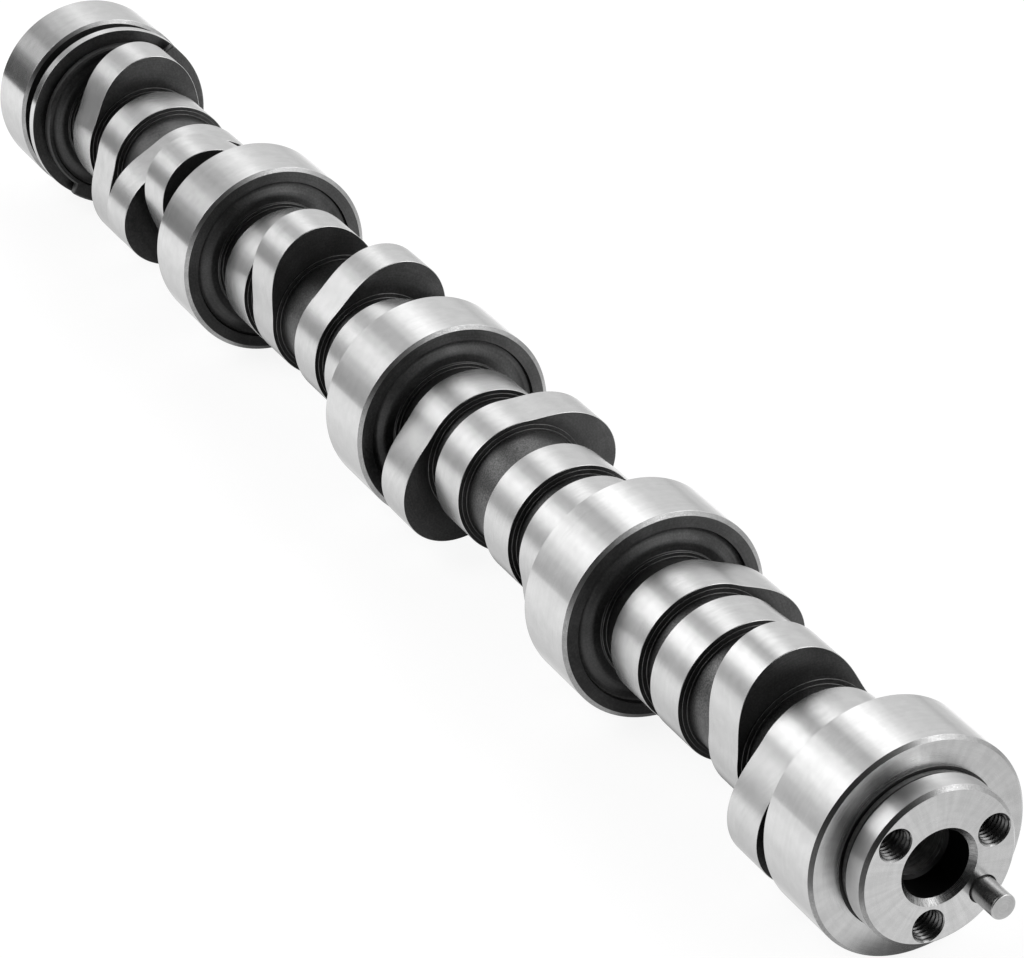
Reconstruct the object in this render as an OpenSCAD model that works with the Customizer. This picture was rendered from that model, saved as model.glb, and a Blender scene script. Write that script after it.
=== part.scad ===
// Hollow one-piece camshaft of a V8 pushrod engine, with its pressed-in front dowel pin.
// The shaft lies along X. The origin is the centre of the front face that the timing sprocket
// bolts to. +X points forward out of that face, and the shaft runs back towards -X.
// A station is a distance behind the front face. A clock angle is measured in the YZ plane
// from +Y towards +Z, which is anticlockwise when the shaft is seen from the front.

/* [Journals] */
// Diameter of the bearing journals
journal_d = 55; // [50:0.1:65]
// Width of each journal over its chamfers
journal_w = 20; // [14:0.1:28]
// Distance between neighbouring journal planes, which is the cylinder spacing
journal_pitch = 111.76; // [105:0.01:125]
// Station of the first journal plane, from which the pitch is counted
first_plane = 19.1; // [17:0.05:24]
// Radial size of the chamfer on the inner journals
journal_chamfer = 1.1; // [0.4:0.05:1.6]
// Length of that chamfer along the shaft
journal_chamfer_len = 0.58; // [0.3:0.02:1.5]
// Radial size of the chamfer round the thrust face
thrust_chamfer = 0.85; // [0.4:0.05:1.6]
// Length of the thrust face chamfer along the shaft
thrust_chamfer_len = 0.95; // [0.4:0.05:1.6]

/* [Journal Sides] */
// Diameter at which the flat rim of a journal's side turns into the dish
dish_d = 46.8; // [42:0.1:48]
// Depth of the dish below the rim
dish_depth = 1.2; // [0.4:0.05:2.5]
// How far the hub stands in front of the rim
hub_proud = 1.05; // [0.5:0.05:2]
// Diameter of the hub's large ring, where the dish starts
hub_ring_d = 34.2; // [33.4:0.1:36]

/* [Core] */
// Diameter of the bare shaft between the lobes
core_d = 31.5; // [26:0.1:32]
// Diameter of the small turned step beside each lobe and journal
small_step_d = 32.8; // [32.2:0.1:33.8]
// Diameter of the large turned step beside each lobe
large_step_d = 34.8; // [34:0.1:36]
// Height of the large step above a lobe's side
large_step_h = 0.4; // [0.2:0.05:0.8]
// Height of the small step above the large one
small_step_h = 0.45; // [0.2:0.05:0.9]

/* [Front Boss] */
// Diameter of the boss that centres the sprocket
boss_d = 39.8; // [39.4:0.1:44]
// Height of the boss in front of the thrust face
boss_len = 8.4; // [6:0.1:14]
// Radial size of the boss chamfer
boss_chamfer = 0.9; // [0.4:0.05:0.9]
// Length of the boss chamfer along the shaft
boss_chamfer_len = 0.95; // [0.4:0.05:2]
// Width of the undercut at the foot of the boss
neck_w = 2.3; // [1.6:0.05:3]
// Length of the undercut's sloped front part
neck_slope_len = 1.2; // [0.4:0.05:1.5]
// Depth of the undercut below the boss
neck_depth = 0.6; // [0.3:0.05:1.5]
// Width of the relief ring cut into the thrust face round the boss
relief_w = 0.3; // [0.1:0.05:1]
// Depth of the relief ring
relief_depth = 0.55; // [0.1:0.05:0.8]

/* [Centre Bore] */
// Diameter of the bore drilled through the whole shaft
bore_d = 15; // [10:0.1:16]
// Diameter of the counterbore at the front
counterbore_d = 16.85; // [16.4:0.05:17.2]
// Depth of the full diameter of the counterbore
counterbore_depth = 9.4; // [6:0.1:30]
// Radial size of the chamfer at the front mouth
mouth_chamfer = 1.3; // [0.4:0.05:1.3]
// Depth of the front mouth chamfer
mouth_chamfer_len = 1.45; // [0.4:0.05:2.5]
// Size of the chamfer at the rear mouth
rear_mouth_chamfer = 1; // [0.4:0.05:2]

/* [Sprocket Bolts] */
// Diameter of the circle that the bolts and the dowel stand on
bolt_circle_d = 29.45; // [29:0.05:29.5]
// Tapping drill diameter of the three bolt holes
tap_d = 6.8; // [5:0.05:7]
// Depth of the drilled bolt holes
tap_depth = 22; // [15:0.5:30]
// Diameter of the countersink at each bolt hole
countersink_d = 8.4; // [7.5:0.05:8.4]

/* [Dowel] */
// Clock angle of the dowel, from which the bolts, the lobes and the timing ring are set
dowel_angle = 322; // [0:1:359]
// Diameter of the dowel pin
dowel_d = 6.35; // [5:0.05:7]
// How far the dowel stands in front of the boss
dowel_proud = 8.2; // [4:0.05:12]
// Length of the dowel inside the shaft
dowel_grip = 12; // [8:0.5:16]
// Chamfer on both ends of the dowel
dowel_chamfer = 0.35; // [0.1:0.05:0.8]
// Radial clearance between the dowel and its hole
dowel_clearance = 0.01; // [0.005:0.005:0.05]
// Radial size of the chamfer at the mouth of the dowel hole
dowel_mouth = 0.4; // [0.2:0.05:0.6]
// Room left under the dowel
dowel_room = 0.5; // [0.2:0.1:2]

/* [Lobes] */
// Diameter of the base circle
base_d = 36.8; // [36.4:0.1:38]
// Lift of the intake lobes above the base circle
intake_lift = 8.8; // [4:0.05:8.8]
// Lift of the exhaust lobes above the base circle
exhaust_lift = 8.7; // [4:0.05:8.8]
// Angle from the nose to where the lift starts
half_duration = 72; // [60:1:80]
// Width of each lobe along the shaft
lobe_w = 12.9; // [10:0.1:14]
// Offset of the inner pair of lobes from the middle of a bay
inner_offset = 13.5; // [10:0.1:15]
// Offset of the outer pair of lobes from the middle of a bay
outer_offset = 32.5; // [30:0.1:35]

/* [Timing] */
// Angle from cylinder one's intake nose forward to the dowel
first_intake_to_dowel = 103.7; // [0:0.1:359]
// Angle between the noses of one cylinder's two lobes
lobe_separation = 112; // [100:0.5:120]
// Angle between the two cylinder banks
bank_angle = 90; // [60:15:90]

/* [Timing Ring] */
// Diameter of the low half of the timing ring
ring_low_d = 47.8; // [47.4:0.1:50]
// Diameter at which the flat rim of the ring's front turns into the dish
ring_dish_d = 45; // [42:0.1:45.4]
// Diameter of the raised half of the timing ring
ring_high_d = 53.9; // [51:0.1:54]
// Width of the timing ring
ring_w = 2.4; // [1.5:0.05:3.5]
// Chamfer on the front edge of the timing ring
ring_edge = 0.5; // [0.1:0.05:0.6]
// Clock extent of the raised half
ring_extent = 180; // [90:5:270]
// Angle from the middle of the raised half forward to the dowel
ring_middle_to_dowel = 2.5; // [-45:0.5:45]
// Width of the gap between the timing ring and the narrow land
ring_gap_w = 1.85; // [1:0.05:3]
// Diameter at the floor of that gap
ring_gap_d = 46; // [43:0.1:46.6]

/* [Rear Journal] */
// Distance from the fifth journal plane forward to the narrow land
land_ahead = 6.5; // [5:0.1:9]
// Diameter of the narrow land
land_d = 54.2; // [54:0.1:55]
// Width of the narrow land
land_w = 2.75; // [2:0.05:4]
// Diameter at the floor of the oil groove
groove_d = 49.2; // [46:0.1:52]
// Width of the oil groove
groove_w = 4.95; // [3:0.05:6]
// Width of the rear bearing band over its chamfers
rear_band_w = 18.75; // [14:0.05:24]

/* [Hidden] */
$fn = 96;
steel = [0.78, 0.78, 0.79];
pin_steel = [0.7, 0.7, 0.71];
firing_order = [1, 8, 7, 2, 6, 5, 4, 3];
firing_step = 360 / len(firing_order);
bays = 4;
nose_step = 3;
base_steps = 36;
dish_steps = 6;
drill_half_angle = 59;
over = 0.5;
journal_r = journal_d / 2;
core_r = core_d / 2;
small_step_r = small_step_d / 2;
large_step_r = large_step_d / 2;
boss_r = boss_d / 2;
base_r = base_d / 2;
bore_r = bore_d / 2;
counterbore_r = counterbore_d / 2;
bolt_circle_r = bolt_circle_d / 2;
tap_r = tap_d / 2;
countersink_r = countersink_d / 2;
dowel_r = dowel_d / 2;
dowel_hole_r = dowel_r + dowel_clearance;
hub_ring_r = hub_ring_d / 2;
ring_low_r = ring_low_d / 2;
ring_high_r = ring_high_d / 2;
ring_dish_r = ring_dish_d / 2;
bolts = 3;
bolt_step = 360 / bolts;
first_intake = dowel_angle - first_intake_to_dowel;
land_front = plane(bays) - land_ahead;
ring_front = land_front - ring_gap_w - ring_w;
band_front = land_front + land_w + groove_w;
shaft_len = band_front + rear_band_w;

// Station of journal plane i, counted from the front
function plane(i) = first_plane + i * journal_pitch;

// Place of a cylinder in the firing order, from 0
function firing_slot(cylinder) = search(cylinder, firing_order)[0];

// Clock angle of an intake nose. The shaft turns anticlockwise seen from the front, so later
// events lie at smaller angles. The even bank's lifters stand one bank angle further clockwise.
function intake_angle(cylinder) =
    first_intake - firing_step * firing_slot(cylinder) - (cylinder % 2 == 0 ? bank_angle : 0);

// Clock angle of an exhaust nose
function exhaust_angle(cylinder) = intake_angle(cylinder) + lobe_separation;

// The lobes of one bay as [station of the middle, nose angle, lift]
function bay_lobes(bay) =
    let (middle = plane(bay) + journal_pitch / 2, odd = 2 * bay + 1, even = 2 * bay + 2)
    [
        [middle - outer_offset, intake_angle(odd), intake_lift],
        [middle - inner_offset, exhaust_angle(even), exhaust_lift],
        [middle + inner_offset, exhaust_angle(odd), exhaust_lift],
        [middle + outer_offset, intake_angle(even), intake_lift]
    ];

// Radius of a lobe at an angle from its nose: the base circle plus a raised cosine
function lobe_radius(angle, lift) =
    base_r + (abs(angle) < half_duration ? lift * (1 + cos(180 * angle / half_duration)) / 2 : 0);

// Outline of a lobe with its nose at angle 0: close steps over the lift, wide ones on the base
function lobe_outline(lift) = concat(
    [for (a = [-half_duration : nose_step : half_duration]) lobe_radius(a, lift) * [cos(a), sin(a)]],
    [for (i = [1 : base_steps - 1])
        let (a = half_duration + i * (360 - 2 * half_duration) / base_steps)
        base_r * [cos(a), sin(a)]]
);

// Turned steps on both sides of one lobe, as [radius, station]
function lobe_steps(middle) =
    let (inner = lobe_w / 2 + large_step_h, outer = inner + small_step_h)
    [
        [core_r, middle - outer],
        [small_step_r, middle - outer],
        [small_step_r, middle - inner],
        [large_step_r, middle - inner],
        [large_step_r, middle + inner],
        [small_step_r, middle + inner],
        [small_step_r, middle + outer],
        [core_r, middle + outer]
    ];

// Hub steps and dished side from the core out to a rim, for material behind the station
function dished_side(station, rim_r) =
    let (r0 = hub_ring_r)
    concat(
        [
            [core_r, station - hub_proud],
            [small_step_r, station - hub_proud],
            [small_step_r, station - hub_proud / 2],
            [r0, station - hub_proud / 2],
            [r0, station]
        ],
        [for (i = [1 : dish_steps])
            [r0 + (rim_r - r0) * i / dish_steps, station + dish_depth * sin(180 * i / dish_steps)]]
    );

// The same side seen from behind: stations mirrored about the given one, in reverse order
function mirrored(points, station) =
    [for (i = [len(points) - 1 : -1 : 0]) [points[i][0], 2 * station - points[i][1]]];

// Front side and chamfered edge of a journal whose side is at the station
function journal_side(station) = concat(
    dished_side(station, dish_d / 2),
    [
        [journal_r - journal_chamfer, station],
        [journal_r, station + journal_chamfer_len]
    ]
);

// One inner journal with both its sides, from front to rear
function journal_profile(middle) =
    let (front = journal_side(middle - journal_w / 2))
    concat(front, mirrored(front, middle));

// Boss, undercut, thrust face and first journal
function front_profile() = concat(
    [
        [0, 0],
        [boss_r - boss_chamfer, 0],
        [boss_r, boss_chamfer_len],
        [boss_r, boss_len - neck_w],
        [boss_r - neck_depth, boss_len - neck_w + neck_slope_len],
        [boss_r - neck_depth, boss_len + relief_depth],
        [boss_r + relief_w, boss_len + relief_depth],
        [boss_r + relief_w, boss_len],
        [journal_r - thrust_chamfer, boss_len],
        [journal_r, boss_len + thrust_chamfer_len]
    ],
    mirrored(journal_side(boss_len + journal_w), boss_len + journal_w)
);

// Low half of the timing ring, gap, narrow land, oil groove and rear bearing band
function rear_profile() = concat(
    dished_side(ring_front, ring_dish_r),
    [
        [ring_low_r - ring_edge, ring_front],
        [ring_low_r, ring_front + ring_edge],
        [ring_low_r, ring_front + ring_w],
        [ring_gap_d / 2, ring_front + ring_w],
        [ring_gap_d / 2, land_front],
        [land_d / 2, land_front],
        [land_d / 2, land_front + land_w],
        [groove_d / 2, land_front + land_w],
        [groove_d / 2, band_front],
        [journal_r - journal_chamfer, band_front],
        [journal_r, band_front + journal_chamfer_len],
        [journal_r, shaft_len - journal_chamfer_len],
        [journal_r - journal_chamfer, shaft_len],
        [0, shaft_len]
    ]
);

// Half section of everything that is turned, from front to rear
function turned_profile() = concat(
    front_profile(),
    [for (bay = [0 : bays - 1]) each concat(
        [for (lobe = bay_lobes(bay)) each lobe_steps(lobe[0])],
        bay < bays - 1 ? journal_profile(plane(bay + 1)) : []
    )],
    rear_profile()
);

// Places its children with their local z = 0 at a station and local z pointing forward
module at_station(station) {
    rotate([90, 0, 90])
        translate([0, 0, -station])
            children();
}

// Blind hole from local z = 0 downwards, with a drill point and a chamfered mouth
module blind_hole(r, depth, mouth_r) {
    mouth_depth = mouth_r - r;
    translate([0, 0, -depth])
        cylinder(h = depth + over, r = r);
    translate([0, 0, -depth - r / tan(drill_half_angle)])
        cylinder(h = r / tan(drill_half_angle), r1 = 0, r2 = r);
    translate([0, 0, -mouth_depth])
        cylinder(h = mouth_depth + over, r1 = r, r2 = mouth_r + over);
}

module turned_shaft() {
    at_station(0)
        rotate_extrude()
            polygon([for (p = turned_profile()) [p[0], -p[1]]]);
}

module lobe(middle, nose, lift) {
    at_station(middle + lobe_w / 2)
        rotate([0, 0, nose])
            linear_extrude(height = lobe_w)
                polygon(lobe_outline(lift));
}

module timing_ring_high_half() {
    root_r = (ring_dish_r + ring_low_r - ring_edge) / 2;
    at_station(ring_front)
        rotate([0, 0, dowel_angle - ring_middle_to_dowel - ring_extent / 2])
            rotate_extrude(angle = ring_extent)
                polygon([
                    [root_r, 0],
                    [ring_high_r - ring_edge, 0],
                    [ring_high_r, -ring_edge],
                    [ring_high_r, -ring_w],
                    [root_r, -ring_w]
                ]);
}

module centre_bore() {
    shoulder = (counterbore_r - bore_r) / tan(drill_half_angle);
    at_station(0)
        rotate_extrude()
            polygon([
                [0, over],
                [counterbore_r + mouth_chamfer, over],
                [counterbore_r + mouth_chamfer, 0],
                [counterbore_r, -mouth_chamfer_len],
                [counterbore_r, -counterbore_depth],
                [bore_r, -counterbore_depth - shoulder],
                [bore_r, rear_mouth_chamfer - shaft_len],
                [bore_r + rear_mouth_chamfer, -shaft_len],
                [bore_r + rear_mouth_chamfer, -shaft_len - over],
                [0, -shaft_len - over]
            ]);
}

module bolt_holes() {
    for (i = [0 : bolts - 1])
        at_station(0)
            rotate([0, 0, dowel_angle + bolt_step * (i + 0.5)])
                translate([bolt_circle_r, 0, 0])
                    blind_hole(tap_r, tap_depth, countersink_r);
}

module dowel_hole() {
    at_station(0)
        rotate([0, 0, dowel_angle])
            translate([bolt_circle_r, 0, 0])
                blind_hole(dowel_hole_r, dowel_grip + dowel_room, dowel_hole_r + dowel_mouth);
}

module camshaft() {
    color(steel)
        difference() {
            union() {
                turned_shaft();
                for (bay = [0 : bays - 1], item = bay_lobes(bay))
                    lobe(item[0], item[1], item[2]);
                timing_ring_high_half();
            }
            centre_bore();
            bolt_holes();
            dowel_hole();
        }
}

module dowel_pin() {
    color(pin_steel)
        at_station(0)
            rotate([0, 0, dowel_angle])
                translate([bolt_circle_r, 0, 0])
                    rotate_extrude()
                        polygon([
                            [0, -dowel_grip],
                            [dowel_r - dowel_chamfer, -dowel_grip],
                            [dowel_r, dowel_chamfer - dowel_grip],
                            [dowel_r, dowel_proud - dowel_chamfer],
                            [dowel_r - dowel_chamfer, dowel_proud],
                            [0, dowel_proud]
                        ]);
}

camshaft();
dowel_pin();
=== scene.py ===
"""Looks of a ground steel camshaft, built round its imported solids.

Lengths of the object are in millimetres and become metres when a mesh is made. A station is a
distance behind the front face, so it runs towards -X. A clock angle is measured in the YZ plane
from +Y towards +Z.
"""

from __future__ import annotations

import logging
import math
from dataclasses import dataclass, field
from enum import Enum
from typing import Optional, Sequence

import bpy
import numpy as np
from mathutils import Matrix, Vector
from mathutils.geometry import tessellate_polygon


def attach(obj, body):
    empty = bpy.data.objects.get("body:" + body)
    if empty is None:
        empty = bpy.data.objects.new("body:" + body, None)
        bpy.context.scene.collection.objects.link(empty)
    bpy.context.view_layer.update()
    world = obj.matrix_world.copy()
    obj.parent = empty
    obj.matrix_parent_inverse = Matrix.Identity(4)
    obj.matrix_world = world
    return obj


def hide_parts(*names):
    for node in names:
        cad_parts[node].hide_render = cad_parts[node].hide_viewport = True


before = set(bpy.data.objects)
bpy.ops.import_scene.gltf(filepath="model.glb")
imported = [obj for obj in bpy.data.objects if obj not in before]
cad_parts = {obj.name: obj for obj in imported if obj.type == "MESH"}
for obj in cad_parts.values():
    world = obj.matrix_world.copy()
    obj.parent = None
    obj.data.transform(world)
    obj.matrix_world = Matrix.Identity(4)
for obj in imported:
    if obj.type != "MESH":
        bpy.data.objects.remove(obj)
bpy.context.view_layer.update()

log = logging.getLogger("camshaft")
MM = 0.001
TINY = 1e-9
FULL_TURN = 2.0 * math.pi
NOISE_REACH = (0.3, 0.7)
Pair = tuple[float, float]
Material = bpy.types.Material
Object = bpy.types.Object
Socket = bpy.types.NodeSocket
Value = float | tuple | Socket


class Finish(Enum):
    """Finishes of the shaft's surfaces, numbered as its material slots."""

    GROUND = 0
    TURNED = 1
    CHAMFER = 2
    COATED = 3
    CORE = 4
    BORE = 5
    THREAD = 6
    MOUTH = 7
    WORN = 8
    # Near-black finish of the counterbore: painted shade of the recess.
    SOOT = 9
    BOSS = 10
    NECK = 11
    LOBE = 12


def ease(share: float) -> float:
    """Ease a share from 0 to 1: three times its square minus twice its cube."""
    share = min(max(share, 0.0), 1.0)
    return share * share * (3.0 - 2.0 * share)


def unit(vector: np.ndarray) -> np.ndarray:
    """The vectors along the last axis, scaled to length one."""
    return vector / np.maximum(np.linalg.norm(vector, axis=-1, keepdims=True), TINY)


def degrees_away(clock: np.ndarray, middle: float) -> np.ndarray:
    """Angle in degrees between clock angles in radians and a middle in degrees, up to 180."""
    return np.abs((np.degrees(clock) - middle + 180.0) % 360.0 - 180.0)


@dataclass
class Row:
    """One ring of a skin.

    Attributes:
        station: Distance behind the front face.
        radius: Distance from the axis at each clock step.
        finish: Finish of the band that ends at this ring.
        tangent: Direction of the outline where the ring lies on a rounded edge, as
            (station, radius), or None where the bands on both sides stay flat.
        free: True where the ring lies on a surface with no straight section, such as a thread.
    """

    station: float
    radius: np.ndarray
    finish: Finish
    tangent: Optional[np.ndarray] = None
    free: bool = False


@dataclass(frozen=True)
class Corner:
    """One corner of a half section, as Outline.to says.

    In a list of a side's corners, the station is the depth behind the side.
    """

    station: float
    radius: float | np.ndarray
    finish: Finish = Finish.COATED
    edge: float = 0.0
    edge_finish: Optional[Finish] = None


@dataclass
class Outline:
    """A half section that is drawn corner by corner and carried round an axis.

    The outline runs with the metal on its right when stations count to the right and radii
    upwards, so the skin's faces point out of the metal.
    """

    around: int
    arc_step: float = math.radians(30.0)
    corners: list[Corner] = field(default_factory=list)

    @property
    def clock(self) -> np.ndarray:
        """Clock angle of each step round the axis, in radians."""
        return np.arange(self.around) * (FULL_TURN / self.around)

    def to(
        self,
        station: float,
        radius: float | np.ndarray,
        finish: Finish = Finish.COATED,
        edge: float = 0.0,
        edge_finish: Optional[Finish] = None,
    ) -> "Outline":
        """Draw on to a corner.

        Args:
            station: Station of the corner.
            radius: Radius of the corner, one number or one for each clock step.
            finish: Finish of the band that leads here.
            edge: Radius that rounds the corner, or 0 to leave it sharp.
            edge_finish: Finish of the rounding, where it isn't that of the band.

        Returns:
            The outline itself, so that corners can be chained.
        """
        ring = np.broadcast_to(np.asarray(radius, float), (self.around,)).copy()
        self.corners.append(Corner(float(station), ring, finish, edge, edge_finish or finish))
        return self

    def side(
        self, corners: list[Corner], station: float, forward: bool, lead: Finish = Finish.COATED
    ) -> None:
        """Draw one side of a lobe or journal.

        Args:
            corners: The side's corners, from the core out.
            station: Station of the side.
            forward: True for a side that faces forward, which is drawn from the core out, and
                False for one that faces the rear, which is drawn back down to the core.
            lead: Finish of the band that leads to the side.
        """
        facing = 1.0 if forward else -1.0
        for i, corner in enumerate(corners if forward else corners[::-1]):
            place = station + facing * corner.station
            finish = corner.finish if i else lead
            self.to(place, corner.radius, finish, corner.edge, corner.edge_finish)

    def rows(self) -> list[Row]:
        """Rings of the outline, with each rounded corner turned into an arc.

        On an arc the ring lies at start + edge * (sin a * incoming + (1 - cos a) * side), where
        a runs from 0 to the corner's turn and side points to the inside of the turn.

        Returns:
            The rings, in the outline's order.
        """
        places = [np.array([c.station, c.radius.mean()]) for c in self.corners]
        rings: list[Row] = []
        for i, corner in enumerate(self.corners):
            if corner.edge <= 0.0 or i in (0, len(self.corners) - 1):
                rings.append(Row(corner.station, corner.radius, corner.finish))
                continue
            incoming = unit(places[i] - places[i - 1])
            outgoing = unit(places[i + 1] - places[i])
            turn = math.acos(float(np.clip(incoming @ outgoing, -1.0, 1.0)))
            side = unit(outgoing - (outgoing @ incoming) * incoming)
            start = -incoming * corner.edge * math.tan(turn / 2.0)
            steps = max(1, math.ceil(turn / self.arc_step - TINY))
            for k in range(steps + 1):
                a = turn * k / steps
                bend = math.sin(a) * incoming + (1.0 - math.cos(a)) * side
                shift = start + corner.edge * bend
                rings.append(Row(
                    corner.station + float(shift[0]),
                    corner.radius + float(shift[1]),
                    corner.edge_finish if k else corner.finish,
                    math.cos(a) * incoming + math.sin(a) * side,
                ))
        return rings


class Skin:
    """Closed surface that is gathered from rings, caps and flat faces, then made one mesh."""

    def __init__(self) -> None:
        """Start with no points."""
        self.points: list[np.ndarray] = []
        self.faces: list[np.ndarray] = []
        self.normals: list[np.ndarray] = []
        self.finishes: list[np.ndarray] = []
        self.count = 0

    def _add_faces(self, faces: np.ndarray, normals: np.ndarray, finishes: np.ndarray) -> None:
        """Keep faces of one corner count, with a normal for every corner.

        Args:
            faces: Point numbers of each face.
            normals: Normal at each corner of each face.
            finishes: Number of each face's finish.
        """
        self.faces.append(faces)
        self.normals.append(normals.reshape(-1, 3))
        self.finishes.append(finishes)

    def tube(self, rows: Sequence[Row], centre: Pair = (0.0, 0.0)) -> np.ndarray:
        """Carry rings round an axis that lies along X.

        A point is (-station, centre y + r cos a, centre z + r sin a). Its normal is the outline's
        normal in the section, leaned back by the slope of the radius round the axis. On a free
        ring the normal is the cross product of the differences along and round the grid.

        Args:
            rows: The rings, in the outline's order.
            centre: Where the axis lies, as (y, z).

        Returns:
            The number of each point, one line for each ring.
        """
        around = len(rows[0].radius)
        clock = np.arange(around) * (FULL_TURN / around)
        station = np.array([row.station for row in rows])
        radius = np.stack([row.radius for row in rows])
        cos, sin = np.cos(clock), np.sin(clock)
        points = np.stack([
            np.broadcast_to(-station[:, None], radius.shape),
            centre[0] + radius * cos,
            centre[1] + radius * sin,
        ], axis=-1)
        slope = (np.roll(radius, -1, 1) - np.roll(radius, 1, 1)) / (2.0 * clock[1])
        chord = unit(np.stack([np.diff(station), np.diff(radius.mean(1))], axis=-1))
        begin, end = (
            np.stack([c if row.tangent is None else row.tangent for row, c in zip(some, chord)])
            for some in (rows[:-1], rows[1:])
        )

        def lean(tangent: np.ndarray, lines: slice) -> np.ndarray:
            """Normals of the rings in lines, for the outline's direction at each.

            Args:
                tangent: Direction of the outline at each ring.
                lines: The rings' numbers.

            Returns:
                The unit normals.
            """
            out = tangent[:, 0][:, None]
            back = -out * slope[lines] / np.maximum(radius[lines], TINY)
            return unit(np.stack([
                np.broadcast_to(tangent[:, 1][:, None], back.shape),
                out * cos - back * sin,
                out * sin + back * cos,
            ], axis=-1))

        first, last = lean(begin, slice(None, -1)), lean(end, slice(1, None))
        free = np.array([row.free for row in rows])
        if free.any():
            along = np.gradient(points, axis=0)
            round_axis = np.roll(points, -1, 1) - np.roll(points, 1, 1)
            grid = unit(np.cross(along, round_axis))
            first[free[:-1]] = grid[:-1][free[:-1]]
            last[free[1:]] = grid[1:][free[1:]]
        index = self.count + np.arange(len(rows) * around).reshape(len(rows), around)
        following = np.roll(index, -1, 1)
        faces = np.stack([index[:-1], index[1:], following[1:], following[:-1]], axis=-1)
        normals = np.stack([first, last, np.roll(last, -1, 1), np.roll(first, -1, 1)], axis=2)
        bands = np.repeat([row.finish.value for row in rows[1:]], around)
        self.points.append(points.reshape(-1, 3))
        self.count += points.shape[0] * around
        self._add_faces(faces.reshape(-1, 4), normals, bands)
        return index

    def pole(self, ring: np.ndarray, place: Sequence[float], inwards: bool, finish: Finish) -> None:
        """Close a ring with a fan of triangles.

        Args:
            ring: Numbers of the ring's points.
            place: The fan's middle point.
            inwards: True where the ring starts a tube, False where it ends one.
            finish: Finish of the fan.
        """
        middle = np.array(place, float)
        edge = np.concatenate(self.points)[ring]
        following = np.roll(ring, -1)
        tip = np.full(len(ring), self.count)
        order = [tip, ring, following] if inwards else [tip, following, ring]
        self.points.append(middle[None])
        self.count += 1
        flat = np.cross(edge - middle, np.roll(edge, -1, 0) - middle)
        flat = unit(flat if inwards else -flat)
        fans = np.repeat(flat[:, None], 3, axis=1)
        self._add_faces(np.stack(order, axis=-1), fans, np.full(len(ring), finish.value))

    def sheet(self, rings: Sequence[np.ndarray], finish: Finish) -> None:
        """Fill the flat face between an outer ring and the rings of its holes, facing +X.

        Args:
            rings: Point numbers of the outer ring, then of each hole.
            finish: Finish of the face.
        """
        points = np.concatenate(self.points)
        loops = [[Vector((0.0, *points[i][1:])) for i in ring] for ring in rings]
        numbers = np.concatenate(rings)
        faces = numbers[np.array(tessellate_polygon(loops))]
        a, b, c = (points[faces[:, k]][:, 1:] for k in range(3))
        turn = (b - a)[:, 0] * (c - a)[:, 1] - (b - a)[:, 1] * (c - a)[:, 0]
        faces[turn < 0] = faces[turn < 0][:, ::-1]
        ahead = np.tile([1.0, 0.0, 0.0], (len(faces) * 3, 1))
        self._add_faces(faces, ahead, np.full(len(faces), finish.value))

    def make(self, name: str, materials: Sequence[Material]) -> Object:
        """Make the gathered surface an object at the origin.

        Args:
            name: Name of the object.
            materials: Materials, in the order of the finishes.

        Returns:
            The new object.
        """
        mesh = bpy.data.meshes.new(name)
        faces = [face for some in self.faces for face in some.tolist()]
        mesh.from_pydata(np.concatenate(self.points) * MM, [], faces, shade_flat=False)
        mesh.polygons.foreach_set("material_index", np.concatenate(self.finishes))
        mesh.normals_split_custom_set(np.concatenate(self.normals))
        for material in materials:
            mesh.materials.append(material)
        piece = bpy.data.objects.new(name, mesh)
        bpy.context.scene.collection.objects.link(piece)
        return piece


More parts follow.
